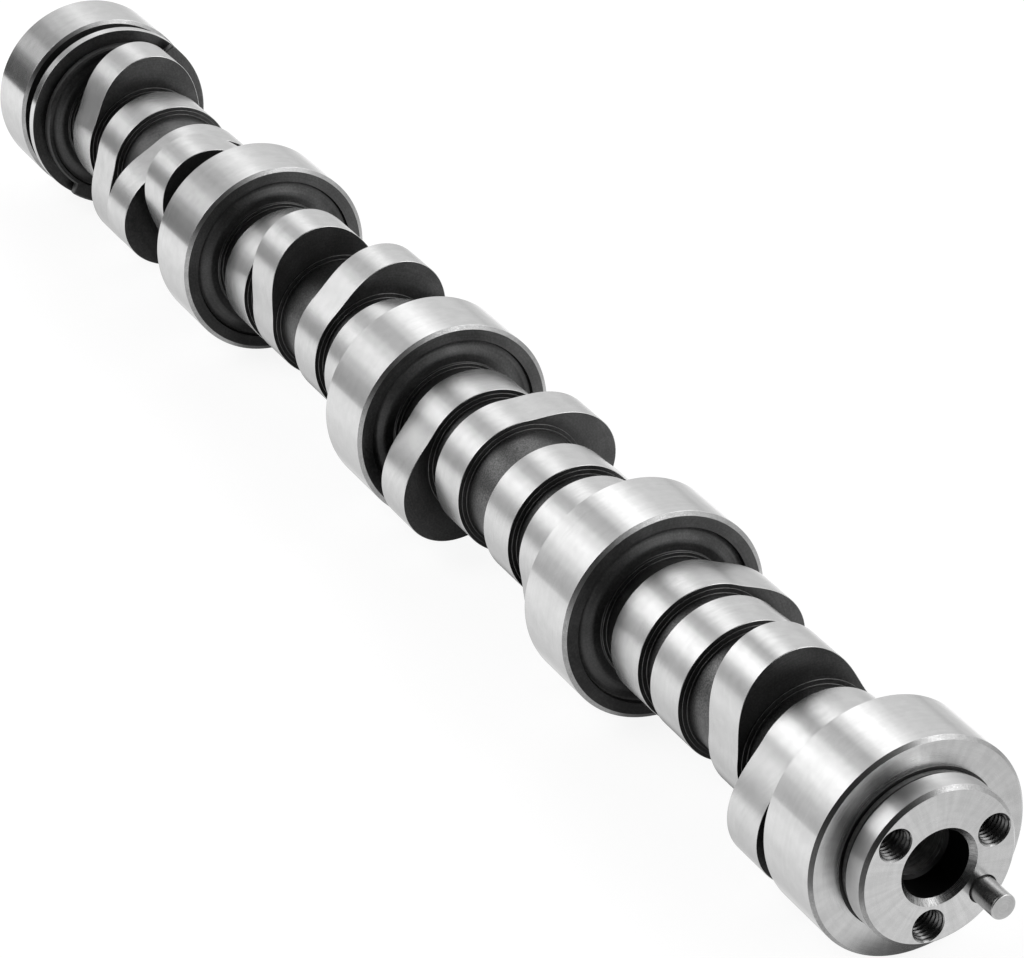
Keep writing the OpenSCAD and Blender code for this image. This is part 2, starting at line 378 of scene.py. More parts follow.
class Graph:
    """A material or world that is put together node by node."""

    def __init__(self, owner: bpy.types.ID) -> None:
        """Clear the node tree of the owner, a material or world.

        Args:
            owner: The material or world.
        """
        owner.use_nodes = True
        self.owner = owner
        self.tree = owner.node_tree
        self.tree.nodes.clear()

    def node(
        self, kind: str, settings: Optional[dict[str, str]] = None, **inputs: Value
    ) -> bpy.types.Node:
        """Add a node.

        Args:
            kind: Node type without the leading ShaderNode.
            settings: Properties of the node.
            **inputs: Values or sockets for its inputs, with spaces written as underscores.

        Returns:
            The node.
        """
        made = self.tree.nodes.new("ShaderNode" + kind)
        for name, value in (settings or {}).items():
            setattr(made, name, value)
        for name, value in inputs.items():
            self.feed(made.inputs[name.replace("_", " ")], value)
        return made

    def feed(self, socket: Socket, value: Value) -> None:
        """Link a socket to the input, or set the input to a plain value.

        Args:
            socket: Input of a node.
            value: Socket or plain value for it.
        """
        if isinstance(value, Socket):
            self.tree.links.new(value, socket)
        else:
            socket.default_value = value

    def join(self, kind: str, first: Value, second: Value, **inputs: Value) -> Socket:
        """Two shaders, joined by an AddShader or MixShader node.

        Args:
            kind: Node type without the leading ShaderNode.
            first: Socket of the first shader.
            second: Socket of the second shader.
            **inputs: Values or sockets for the other inputs.

        Returns:
            The joined shader.
        """
        made = self.node(kind, **inputs)
        pair = [socket for socket in made.inputs if socket.type == "SHADER"]
        for socket, shader in zip(pair, (first, second)):
            self.feed(socket, shader)
        return made.outputs[0]

    def math(self, operation: str, *values: Value) -> Socket:
        """Result of a Math node on up to three values or sockets.

        Args:
            operation: Name of the operation.
            *values: Values or sockets, in its order.

        Returns:
            The result.
        """
        made = self.node("Math", {"operation": operation})
        for socket, value in zip(made.inputs, values):
            self.feed(socket, value)
        return made.outputs[0]

    def span(
        self, value: Value, low: float, high: float, start: float = 0.0, end: float = 1.0
    ) -> Socket:
        """Value eased from start at low to end at high.

        Args:
            value: Socket of the value.
            low: Value where the span starts.
            high: Value where it ends.
            start: Result up to low.
            end: Result from high on.

        Returns:
            The result.
        """
        made = self.node(
            "MapRange", {"interpolation_type": "SMOOTHSTEP"},
            Value=value, From_Min=low, From_Max=high, To_Min=start, To_Max=end,
        )
        return made.outputs[0]

    def blend(self, first: Value, second: Value, share: Value) -> Socket:
        """Mix of two values: the first where the share is 0, the second where it is 1."""
        made = self.node("Mix", {"data_type": "FLOAT"}, Factor=share, A=first, B=second)
        return made.outputs[0]

    def noise(self, vector: Value, scale: float, detail: float, rough: float = 0.5) -> Socket:
        """Grey noise at a number of features to the unit of the vector."""
        made = self.node("TexNoise", Vector=vector, Scale=scale, Detail=detail, Roughness=rough)
        return made.outputs["Fac"]

    def vector(self, x: Value, y: Value, z: Value) -> Socket:
        """Three values or sockets joined in a vector."""
        return self.node("CombineXYZ", X=x, Y=y, Z=z).outputs[0]

    def grey(self, value: Value) -> Socket:
        """A value as a neutral colour."""
        return self.node("CombineColor", Red=value, Green=value, Blue=value).outputs[0]


class SteelGraph(Graph):
    """Material of a steel surface, with the coordinates that all its patterns share."""

    def __init__(self, name: str, centre: Pair) -> None:
        """Lay out station, section and radius.

        Args:
            name: Name of the material.
            centre: Where the axis of the marks lies, as (y, z).
        """
        super().__init__(bpy.data.materials.new(name))
        self.place = self.node("TexCoord").outputs["Object"]
        self.x, *section = self.node("SeparateXYZ", Vector=self.place).outputs
        self.section = [self.math("SUBTRACT", s, c * MM) for s, c in zip(section, centre)]
        squares = (self.math("MULTIPLY", side, side) for side in self.section)
        self.radius = self.math("SQRT", self.math("ADD", *squares))


@dataclass(frozen=True)
class Grain:
    """Noise with no direction.

    Attributes:
        scale: Features to the metre.
        detail: Octaves of noise.
        rough: Strength of the finer octaves.
    """

    scale: float
    detail: float
    rough: float = 0.5

    def lay(self, graph: SteelGraph) -> Socket:
        """The noise on the object's own coordinates."""
        return graph.noise(graph.place, self.scale, self.detail, self.rough)


@dataclass(frozen=True)
class Streaks:
    """Noise drawn out round the axis.

    The section is squeezed to the streaks' length, and station and radius both run across
    them, so that the same marks cover cylinders, cones and faces.

    Attributes:
        across: Width of a streak.
        along: Length of a streak.
    """

    across: float
    along: float

    def lay(self, graph: SteelGraph) -> Socket:
        """The noise on station plus radius and on the squeezed section.

        Args:
            graph: Tree that takes the nodes.

        Returns:
            The noise.
        """
        step = graph.math("ADD", graph.x, graph.radius)
        step = graph.math("MULTIPLY", step, 1.0 / (self.across * MM))
        squeeze = 1.0 / (self.along * MM)
        section = (graph.math("MULTIPLY", side, squeeze) for side in graph.section)
        return graph.noise(graph.vector(step, *section), 1.0, 3.0)


@dataclass(frozen=True)
class Spokes(Grain):
    """Grain on the direction from the axis, whose marks run out like spokes.

    Attributes:
        beside: Features to the radian across the spokes.
    """

    beside: float = 22.0

    def lay(self, graph: SteelGraph) -> Socket:
        """The noise on the radius and on the section divided by the radius.

        Args:
            graph: Tree that takes the nodes.

        Returns:
            The noise.
        """
        step = graph.math("MULTIPLY", graph.radius, self.scale)
        sides = [graph.math("DIVIDE", side, graph.radius) for side in graph.section]
        direction = (graph.math("MULTIPLY", side, self.beside) for side in sides)
        return graph.noise(graph.vector(step, *direction), 1.0, self.detail, self.rough)


@dataclass(frozen=True)
class Mark:
    """What one pattern of noise does to a finish.

    Attributes:
        pattern: The noise.
        shade: Factors of the shade where the noise is low and where it is high.
        rough: The same factors of the roughness.
        relief: Share that the noise has in the relief.
        reach: Noise that counts as low and as high for the shade.
    """

    pattern: Grain | Streaks
    shade: Optional[Pair] = None
    rough: Optional[Pair] = None
    relief: float = 0.0
    reach: Pair = NOISE_REACH


@dataclass(frozen=True)
class Steel:
    """A finish of steel whose marks run round an axis along X.

    Attributes:
        name: Name of the material.
        shade: Grey level of the base colour.
        rough: Roughness.
        brushed: How far the marks draw reflections out across them.
        depth: Depth of the relief.
        metallic: Share of bare metal.
        marks: Patterns that vary shade, roughness and relief.
    """

    name: str
    shade: float
    rough: float
    brushed: float = 0.0
    depth: float = 0.0006
    metallic: float = 1.0
    marks: tuple[Mark, ...] = ()

    def material(self, centre: Pair = (0.0, 0.0)) -> Material:
        """Build the finish.

        Each mark multiplies shade and roughness by its factors and adds its share of relief.

        Args:
            centre: Where the axis of the marks lies, as (y, z).

        Returns:
            The material.
        """
        graph = SteelGraph(self.name, centre)
        shade, rough, relief = self.shade, self.rough, 0.0
        for mark in self.marks:
            noise = mark.pattern.lay(graph)
            if mark.shade:
                shade = graph.math("MULTIPLY", graph.span(noise, *mark.reach, *mark.shade), shade)
            if mark.rough:
                rough = graph.math("MULTIPLY", graph.span(noise, *NOISE_REACH, *mark.rough), rough)
            if mark.relief:
                relief = graph.math("MULTIPLY_ADD", noise, mark.relief, relief)
        bump = graph.node("Bump", Height=relief, Strength=1.0, Distance=self.depth * MM)
        tangent = graph.node("Tangent", {"direction_type": "RADIAL", "axis": "X"})
        shader = graph.node(
            "BsdfPrincipled",
            Base_Color=graph.grey(shade), Roughness=rough, Metallic=self.metallic,
            Normal=bump.outputs[0], Tangent=tangent.outputs[0],
            Anisotropic=self.brushed, Anisotropic_Rotation=0.25,
        )
        graph.node("OutputMaterial", Surface=shader.outputs[0])
        return graph.owner


@dataclass(frozen=True)
class GroundSteel(Steel):
    """Bright steel with fine grinding marks, wider ones and clouds."""

    name: str = "ground_steel"
    shade: float = 0.65
    rough: float = 0.13
    brushed: float = 0.8
    marks: tuple[Mark, ...] = (
        Mark(Streaks(0.3, 3.5), rough=(0.92, 1.08), relief=1.0),
        Mark(Streaks(0.9, 30.0), shade=(0.985, 1.015)),
        Mark(Grain(260.0, 4.0, 0.6), shade=(0.965, 1.035)),
    )


@dataclass(frozen=True)
class TurnedSteel(Steel):
    """Bare steel of a turned face: rings of the tool, clouds, and faint scratches like spokes."""

    name: str = "turned_steel"
    shade: float = 0.58
    rough: float = 0.24
    brushed: float = 0.6
    marks: tuple[Mark, ...] = (
        Mark(Streaks(0.16, 6.0), rough=(0.9, 1.15), relief=1.0),
        Mark(Streaks(1.1, 16.0), shade=(0.97, 1.03)),
        Mark(Grain(420.0, 4.0, 0.6), shade=(0.97, 1.03), reach=(0.3, 0.72)),
        Mark(Spokes(90.0, 3.0, 0.5, 14.0), shade=(1.04, 0.94)),
    )


@dataclass(frozen=True)
class PinSteel(Steel):
    """Ground steel of the dowel: grinding rings round its own axis, and dull spots."""

    name: str = "pin_ground"
    shade: float = 0.5
    rough: float = 0.3
    brushed: float = 0.55
    depth: float = 0.0005
    marks: tuple[Mark, ...] = (
        Mark(Streaks(0.15, 3.0), shade=(0.93, 1.07), rough=(1.1, 0.9), relief=1.0),
        Mark(Grain(900.0, 3.0, 0.6), shade=(0.95, 1.04)),
    )


@dataclass(frozen=True)
class CutEdge(Steel):
    """Dull steel of the chamfers: bright grains, darker patches and a rough relief."""

    name: str = "chamfer_steel"
    shade: float = 0.38
    rough: float = 0.31
    depth: float = 0.004
    marks: tuple[Mark, ...] = (
        Mark(Grain(4600.0, 3.0, 0.65), (0.85, 1.4), (1.15, 0.85), 1.0, (0.4, 0.7)),
        Mark(Grain(300.0, 2.0), shade=(0.92, 1.08)),
    )


@dataclass(frozen=True)
class DarkCoat(Steel):
    """Dark phosphate coat of turned sides: faint tool rings and clouds under a fine grain."""

    name: str = "dark_coat"
    shade: float = 0.074
    rough: float = 0.38
    brushed: float = 0.15
    depth: float = 0.003
    metallic: float = 0.7
    marks: tuple[Mark, ...] = (
        Mark(Streaks(0.35, 25.0), shade=(0.92, 1.09), relief=0.2),
        Mark(Grain(130.0, 3.0), shade=(0.85, 1.18)),
        Mark(Grain(1800.0, 3.0, 0.65), (0.85, 1.3), (0.85, 1.2), 0.8, (0.35, 0.75)),
    )


@dataclass(frozen=True)
class CoreSkin(Steel):
    """Mottled grey skin of the bare shaft between the lobes: a speckled grain with clouds."""

    name: str = "core_skin"
    shade: float = 0.12
    rough: float = 0.35
    brushed: float = 0.3
    depth: float = 0.016
    metallic: float = 0.9
    marks: tuple[Mark, ...] = (
        Mark(Grain(2300.0, 4.0, 0.75), (0.68, 1.5), (1.15, 0.85), 0.7, (0.38, 0.66)),
        Mark(Streaks(0.5, 8.0), relief=0.3),
        Mark(Grain(210.0, 3.0), shade=(0.88, 1.12)),
    )


@dataclass(frozen=True)
class DrilledSteel(Steel):
    """Steel inside the drilled bore and the threads: chatter rings and dull patches."""

    name: str = "drilled_steel"
    shade: float = 0.4
    rough: float = 0.4
    brushed: float = 0.4
    depth: float = 0.004
    metallic: float = 0.4
    marks: tuple[Mark, ...] = (
        Mark(Streaks(0.3, 6.0), shade=(0.7, 1.3), rough=(0.85, 1.25), relief=1.0),
        Mark(Grain(500.0, 3.0), shade=(0.8, 1.2)),
    )


@dataclass(frozen=True)
class MouthSteel(Steel):
    """Bright countersunk mouths of the holes, with short dark chatter marks across the cut."""

    name: str = "mouth_steel"
    shade: float = 0.36
    rough: float = 0.26
    brushed: float = 0.5
    depth: float = 0.006
    marks: tuple[Mark, ...] = (
        Mark(Spokes(900.0, 4.0, 0.7), shade=(0.55, 1.12), relief=1.0, reach=(0.36, 0.6)),
        Mark(Streaks(0.2, 5.0), rough=(0.85, 1.2)),
    )


@dataclass(frozen=True)
class Lobe:
    """One cam lobe.

    Attributes:
        station: Middle of its width.
        nose: Clock angle of its nose, in degrees.
        lift: Height of the nose above the base circle.
    """

    station: float
    nose: float
    lift: float


@dataclass
class Camshaft:
    """The one-piece shaft: its sizes, and the skin that shows them.

    A name ends in _r for a radius, in _w for a width along the shaft, in _len for a chamfer's
    or slope's length along it, and in _edge for the radius that rounds an edge.
    """

    journal_r: float = 27.5
    journal_w: float = 20.0
    pitch: float = 111.76
    bays: int = 4
    first_plane: float = 19.1
    chamfer: float = 1.1
    chamfer_len: float = 0.58
    rim_edge: float = 0.08
    core_r: float = 15.75
    small_step_r: float = 16.4
    small_step_h: float = 0.45
    large_step_r: float = 17.4
    large_step_h: float = 0.4
    step_edge: float = 0.07
    hub_proud: float = 1.05
    hub_ring_r: float = 17.1
    dish_r: float = 23.4
    dish_form: tuple[tuple[float, float, float], ...] = (
        (0.02, 0.1, 0.25), (0.41, 0.13, 3.4), (0.78, 1.2, 2.1), (0.95, 1.0, 0.35)
    )
    boss_r: float = 19.9
    boss_w: float = 8.4
    boss_chamfer: float = 0.9
    boss_chamfer_len: float = 0.95
    boss_edge: float = 0.1
    neck_w: float = 2.3
    neck_slope_len: float = 1.2
    neck_depth: float = 0.6
    neck_edge: float = 0.9
    relief_w: float = 0.3
    relief_depth: float = 0.55
    thrust_chamfer: float = 0.85
    thrust_chamfer_len: float = 0.95
    thrust_edge: float = 0.06
    base_r: float = 18.4
    intake_lift: float = 8.8
    exhaust_lift: float = 8.7
    half_duration: float = 72.0
    lobe_w: float = 12.9
    lobe_edge: float = 0.14
    side_ring_in: float = 0.05
    side_ring_gap: float = 0.3
    inner_offset: float = 13.5
    outer_offset: float = 32.5
    first_intake_to_dowel: float = 103.7
    lobe_separation: float = 112.0
    bank: float = 90.0
    firing_order: tuple[int, ...] = (1, 8, 7, 2, 6, 5, 4, 3)
    ring_low_r: float = 23.9
    ring_high_r: float = 26.95
    ring_dish_r: float = 22.5
    ring_w: float = 2.4
    ring_chamfer: float = 0.5
    ring_edge: float = 0.12
    ring_middle_to_dowel: float = 2.5
    ring_gap_w: float = 1.85
    ring_gap_r: float = 23.0
    land_ahead: float = 6.5
    land_r: float = 27.1
    land_w: float = 2.75
    groove_r: float = 24.6
    groove_w: float = 4.95
    band_w: float = 18.75
    bore_r: float = 7.5
    rear_mouth: float = 1.0
    counterbore_r: float = 8.425
    counterbore_depth: float = 9.4
    mouth_chamfer: float = 1.3
    mouth_chamfer_len: float = 1.45
    bolt_circle_r: float = 14.725
    bolts: int = 3
    countersink_r: float = 4.2
    tap_r: float = 3.4
    tap_depth: float = 22.0
    thread_r: float = 4.0
    thread_pitch: float = 1.25
    thread_crest: float = 1.25
    thread_flank: float = 2.6
    thread_front: float = 0.16
    thread_back: float = 9.0
    thread_run_out: float = 0.8
    rings_per_pitch: int = 9
    dowel_clock: float = 322.0
    dowel_hole_r: float = 3.185
    dowel_hole_depth: float = 12.5
    dowel_mouth: float = 0.4
    drill_half: float = math.radians(59.0)
    drill_tip_share: float = 0.02
    around: int = 160
    hole_around: int = 40

    @property
    def rim_r(self) -> float:
        """Outer radius of a journal's sides."""
        return self.journal_r - self.chamfer

    @property
    def length(self) -> float:
        """Length of the shaft."""
        return self.land_front + self.land_w + self.groove_w + self.band_w

    @property
    def land_front(self) -> float:
        """Station of the narrow land's front."""
        return self.plane(self.bays) - self.land_ahead

    def plane(self, number: int) -> float:
        """Station of a journal plane."""
        return self.first_plane + number * self.pitch

    def on_bolt_circle(self, clock: float) -> Pair:
        """Where a clock angle in degrees meets the bolt circle, as (y, z)."""
        angle = math.radians(clock)
        return self.bolt_circle_r * math.cos(angle), self.bolt_circle_r * math.sin(angle)

    def intake(self, cylinder: int) -> float:
        """Clock angle of a cylinder's intake nose, from its place in the firing order.

        Args:
            cylinder: Number of the cylinder, from 1.

        Returns:
            The angle in degrees.
        """
        turned = 360.0 / len(self.firing_order) * self.firing_order.index(cylinder)
        even = self.bank if cylinder % 2 == 0 else 0.0
        return self.dowel_clock - self.first_intake_to_dowel - turned - even

    def lobes(self, bay: int) -> list[Lobe]:
        """The four lobes of a bay, from front to rear.

        Args:
            bay: Number of the bay, from 0 at the front.

        Returns:
            The lobes.
        """
        middle = self.plane(bay) + self.pitch / 2.0
        odd, even = self.intake(2 * bay + 1), self.intake(2 * bay + 2)
        return [
            Lobe(middle - self.outer_offset, odd, self.intake_lift),
            Lobe(middle - self.inner_offset, even + self.lobe_separation, self.exhaust_lift),
            Lobe(middle + self.inner_offset, odd + self.lobe_separation, self.exhaust_lift),
            Lobe(middle + self.outer_offset, even, self.intake_lift),
        ]

    def lobe_radius(self, lobe: Lobe, clock: np.ndarray) -> np.ndarray:
        """Radius of a lobe round the clock.

        The base circle plus half the lift times one plus the cosine of the angle from the nose,
        stretched so that the lift ends at the half duration.

        Args:
            lobe: The lobe.
            clock: Clock angles in radians.

        Returns:
            The radius at each angle.
        """
        away = degrees_away(clock, lobe.nose)
        rise = lobe.lift * (1.0 + np.cos(np.pi * away / self.half_duration)) / 2.0
        return self.base_r + np.where(away < self.half_duration, rise, 0.0)

    def steps(self, small: float, large: float, large_r: float, edge: float) -> list[Corner]:
        """Corners of the two turned steps at the foot of a side, from the core out.

        Args:
            small: How far the small step stands proud of the side.
            large: How far the large step stands proud of it.
            large_r: Radius of the large step.
            edge: Radius that rounds the steps' worn edges.

        Returns:
            The corners.
        """
        return [
            Corner(-small, self.core_r),
            Corner(-small, self.small_step_r, edge=edge, edge_finish=Finish.WORN),
            Corner(-large, self.small_step_r),
            Corner(-large, large_r, edge=edge, edge_finish=Finish.WORN),
        ]

    def dish(self, outer_r: float) -> list[Corner]:
        """Corners of a journal's dished side, from the core out to its rim.

        Outside the hub a low shelf slopes down to a trough, which ends in a short steep wall.
        The wave's corners in dish_form are (share of the way to the rim, depth, edge).

        Args:
            outer_r: Radius where the dish meets the flat rim.

        Returns:
            The corners.
        """
        width = outer_r - self.hub_ring_r
        return [
            *self.steps(self.hub_proud, self.hub_proud / 2.0, self.hub_ring_r, self.rim_edge),
            *(Corner(depth, self.hub_ring_r + width * share, edge=edge)
              for share, depth, edge in self.dish_form),
            Corner(0.0, outer_r),
        ]

    def draw_lobe(self, outline: Outline, lobe: Lobe) -> None:
        """Draw a lobe with the turned steps on both its sides.

        A ring inside both the base circle and the cam keeps the long faces of the sides even.

        Args:
            outline: The half section.
            lobe: The lobe.
        """
        radius = self.lobe_radius(lobe, outline.clock)
        ring = np.minimum(self.base_r - self.side_ring_in, radius - self.side_ring_gap)
        small = self.large_step_h + self.small_step_h
        side = [
            *self.steps(small, self.large_step_h, self.large_step_r, self.step_edge),
            Corner(0.0, self.large_step_r),
            Corner(0.0, ring),
            Corner(0.0, radius, edge=self.lobe_edge, edge_finish=Finish.LOBE),
        ]
        outline.side(side, lobe.station - self.lobe_w / 2.0, True, Finish.CORE)
        outline.side(side, lobe.station + self.lobe_w / 2.0, False, Finish.LOBE)

    def draw_bearing(self, outline: Outline, front: float, back: float) -> None:
        """Draw a ground bearing surface and the chamfer behind it.

        Args:
            outline: The half section.
            front: Station where the chamfer in front of the surface ends.
            back: Station where the chamfer behind it ends.
        """
        outline.to(front, self.journal_r, Finish.CHAMFER, self.rim_edge, Finish.GROUND)
        outline.to(back - self.chamfer_len, self.journal_r, Finish.GROUND, self.rim_edge)
        outline.to(back, self.rim_r, Finish.CHAMFER, self.rim_edge)

    def draw_band(self, outline: Outline, front: float, back: float) -> None:
        """Draw a bearing surface with both its chamfers, up from the coated side ahead of it."""
        outline.to(front, self.rim_r, Finish.COATED, self.rim_edge, Finish.CHAMFER)
        self.draw_bearing(outline, front + self.chamfer_len, back)

    def draw_journal(self, outline: Outline, middle: float) -> None:
        """Draw an inner journal with both its sides.

        Args:
            outline: The half section.
            middle: Station of the journal's middle.
        """
        front, back = middle - self.journal_w / 2.0, middle + self.journal_w / 2.0
        outline.side(self.dish(self.dish_r), front, True)
        self.draw_band(outline, front, back)
        outline.side(self.dish(self.dish_r), back, False)

    def draw_front(self, outline: Outline) -> None:
        """Draw the boss, undercut, thrust face and first journal.

        Args:
            outline: The half section.
        """
        thrust, back = self.boss_w, self.boss_w + self.journal_w
        neck = thrust - self.neck_w
        neck_r = self.boss_r - self.neck_depth
        relief_r = self.boss_r + self.relief_w
        outline.to(0.0, self.boss_r - self.boss_chamfer, Finish.TURNED)
        outline.to(self.boss_chamfer_len, self.boss_r, Finish.CHAMFER, self.boss_edge, Finish.BOSS)
        outline.to(neck, self.boss_r, Finish.BOSS, self.boss_edge)
        outline.to(neck + self.neck_slope_len, neck_r, Finish.COATED, self.neck_edge, Finish.NECK)
        outline.to(thrust, neck_r, Finish.NECK)
        outline.to(thrust + self.relief_depth, neck_r)
        outline.to(thrust + self.relief_depth, relief_r)
        outline.to(thrust, relief_r, Finish.COATED, self.thrust_edge, Finish.TURNED)
        outline.to(thrust, self.journal_r - self.thrust_chamfer, Finish.TURNED, self.thrust_edge)
        self.draw_bearing(outline, thrust + self.thrust_chamfer_len, back)
        outline.side(self.dish(self.dish_r), back, False)

    def ring_radius(self, clock: np.ndarray) -> np.ndarray:
        """Radius of the timing ring: high over the half on the dowel's side, low elsewhere."""
        away = degrees_away(clock, self.dowel_clock - self.ring_middle_to_dowel)
        return np.where(away <= 90.0, self.ring_high_r, self.ring_low_r)

    def draw_rear(self, outline: Outline) -> None:
        """Draw the timing ring, gap, narrow land, oil groove, rear band and rear face.

        Args:
            outline: The half section.
        """
        ring_r = self.ring_radius(outline.clock)
        ring_back = self.land_front - self.ring_gap_w
        ring_front = ring_back - self.ring_w
        land_back = self.land_front + self.land_w
        band_front = land_back + self.groove_w
        outline.side(self.dish(self.ring_dish_r), ring_front, True)
        outline.to(ring_front, ring_r - self.ring_chamfer)
        outline.to(ring_front + self.ring_chamfer, ring_r)
        outline.to(ring_back, ring_r, Finish.COATED, self.ring_edge, Finish.CHAMFER)
        outline.to(ring_back, self.ring_gap_r)
        outline.to(self.land_front, self.ring_gap_r)
        outline.to(self.land_front, self.land_r, Finish.COATED, self.rim_edge, Finish.GROUND)
        outline.to(land_back, self.land_r, Finish.GROUND, self.rim_edge)
        outline.to(land_back, self.groove_r)
        outline.to(band_front, self.groove_r)
        self.draw_band(outline, band_front, self.length)
        outline.to(self.length, self.bore_r + self.rear_mouth, Finish.TURNED, self.rim_edge)
        outline.to(self.length - self.rear_mouth, self.bore_r, Finish.CHAMFER)

    def draw_bore(self, outline: Outline) -> None:
        """Draw the bore from the rear forward to its front mouth.

        Args:
            outline: The half section.
        """
        shoulder = (self.counterbore_r - self.bore_r) / math.tan(self.drill_half)
        mouth, mouth_r = self.mouth_chamfer_len, self.counterbore_r + self.mouth_chamfer
        outline.to(self.counterbore_depth + shoulder, self.bore_r, Finish.BORE)
        # The counterbore's cone and wall get a near-black base colour: painted shade inside the
        # bore.
        outline.to(self.counterbore_depth, self.counterbore_r, Finish.SOOT)
        outline.to(mouth, self.counterbore_r, Finish.SOOT, self.rim_edge, Finish.MOUTH)
        outline.to(0.0, mouth_r, Finish.MOUTH)

    def outline(self) -> Outline:
        """The half section of the whole shaft, from its front face round to the bore's mouth.

        Returns:
            The half section.
        """
        outline = Outline(self.around)
        self.draw_front(outline)
        for bay in range(self.bays):
            for lobe in self.lobes(bay):
                self.draw_lobe(outline, lobe)
            if bay < self.bays - 1:
                self.draw_journal(outline, self.plane(bay + 1))
        self.draw_rear(outline)
        self.draw_bore(outline)
        return outline

    def drilled_hole(self, radius: float, depth: float) -> Outline:
        """The cone and bottom edge of a drilled hole, from close to the drill's tip.

        Args:
            radius: Radius of the hole.
            depth: Depth of its full radius.

        Returns:
            An outline that is ready for the hole's wall.
        """
        cone = radius / math.tan(self.drill_half) * (1.0 - self.drill_tip_share)
        hole = Outline(self.hole_around)
        hole.to(depth + cone, radius * self.drill_tip_share, Finish.BORE)
        return hole.to(depth, radius, Finish.BORE)

    def threaded_hole(self) -> list[Row]:
        """Rings of a threaded hole, from its bottom to its mouth.

        The thread's radius is a clipped triangle wave of station / pitch + clock / full turn,
        which winds right-handed. It runs out at its back end, and the countersink's cone cuts
        it off at the mouth.

        Returns:
            The rings.
        """
        hole = self.drilled_hole(self.tap_r, self.tap_depth)
        rows = hole.rows()
        ring_step = self.thread_pitch / self.rings_per_pitch
        for station in np.arange(self.thread_back, self.thread_front, -ring_step):
            wave = (station / self.thread_pitch + hole.clock / FULL_TURN) % 1.0
            height = self.thread_crest - self.thread_flank * np.abs(wave - 0.5)
            full = ease((self.thread_back - station) / self.thread_run_out)
            deep = (self.thread_r - self.tap_r) * full
            thread = self.tap_r + deep * np.clip(height, 0.0, 1.0)
            radius = np.maximum(thread, self.countersink_r - station)
            rows.append(Row(float(station), radius, Finish.THREAD, free=True))
        return rows + Outline(self.hole_around).to(0.0, self.countersink_r, Finish.MOUTH).rows()

    def dowel_hole(self) -> list[Row]:
        """Rings of the dowel's hole, from its bottom to its mouth.

        Returns:
            The rings.
        """
        hole = self.drilled_hole(self.dowel_hole_r, self.dowel_hole_depth)
        hole.to(self.dowel_mouth, self.dowel_hole_r, Finish.BORE)
        hole.to(0.0, self.dowel_hole_r + self.dowel_mouth, Finish.CORE)
        return hole.rows()

    def build(self, materials: Sequence[Material]) -> Object:
        """Make the shaft's skin.

        Args:
            materials: Materials, in the order of the finishes.

        Returns:
            The shaft.
        """
        skin = Skin()
        grid = skin.tube(self.outline().rows())
        rings = [grid[0], grid[-1]]
        bolt_step = 360.0 / self.bolts
        holes = [(self.dowel_clock, self.dowel_hole())]
        for i in range(self.bolts):
            holes.append((self.dowel_clock + bolt_step * (i + 0.5), self.threaded_hole()))
        for clock, rows in holes:
            centre = self.on_bolt_circle(clock)
            hole = skin.tube(rows, centre)
            tip = rows[0].station + rows[0].radius[0] / math.tan(self.drill_half)
            skin.pole(hole[0], (-tip, *centre), True, Finish.BORE)
            rings.append(hole[-1])
        skin.sheet(rings, Finish.TURNED)
        return skin.make("camshaft_body", materials)


@dataclass
class Dowel:
    """The pin that locates the sprocket."""

    radius: float = 3.175
    proud: float = 8.2
    grip: float = 12.0
    edge: float = 0.42
    root_edge: float = 0.35
    fan_share: float = 0.3
    arc_step: float = math.radians(15.0)
    around: int = 64

    def build(self, shaft: Camshaft) -> Object:
        """Make the pin where the shaft holds it.

        Args:
            shaft: The shaft, for the pin's place.

        Returns:
            The pin.
        """
        fan_r = self.radius * self.fan_share
        outline = Outline(self.around, self.arc_step)
        outline.to(-self.proud, fan_r, Finish.TURNED)
        outline.to(-self.proud, self.radius, Finish.TURNED, self.edge, Finish.CHAMFER)
        outline.to(self.grip, self.radius, Finish.GROUND, self.root_edge)
        outline.to(self.grip, fan_r, Finish.GROUND)
        centre = shaft.on_bolt_circle(shaft.dowel_clock)
        skin = Skin()
        grid = skin.tube(outline.rows(), centre)
        skin.pole(grid[0], (self.proud, *centre), True, Finish.TURNED)
        skin.pole(grid[-1], (-self.grip, *centre), False, Finish.GROUND)
        steels = {
            Finish.GROUND: PinSteel(),
            Finish.TURNED: PinSteel("pin_end", shade=0.47, rough=0.34),
            Finish.CHAMFER: PinSteel("pin_edge", shade=0.52, brushed=0.0),
        }
        return skin.make("sprocket_dowel", [steel.material(centre) for steel in steels.values()])


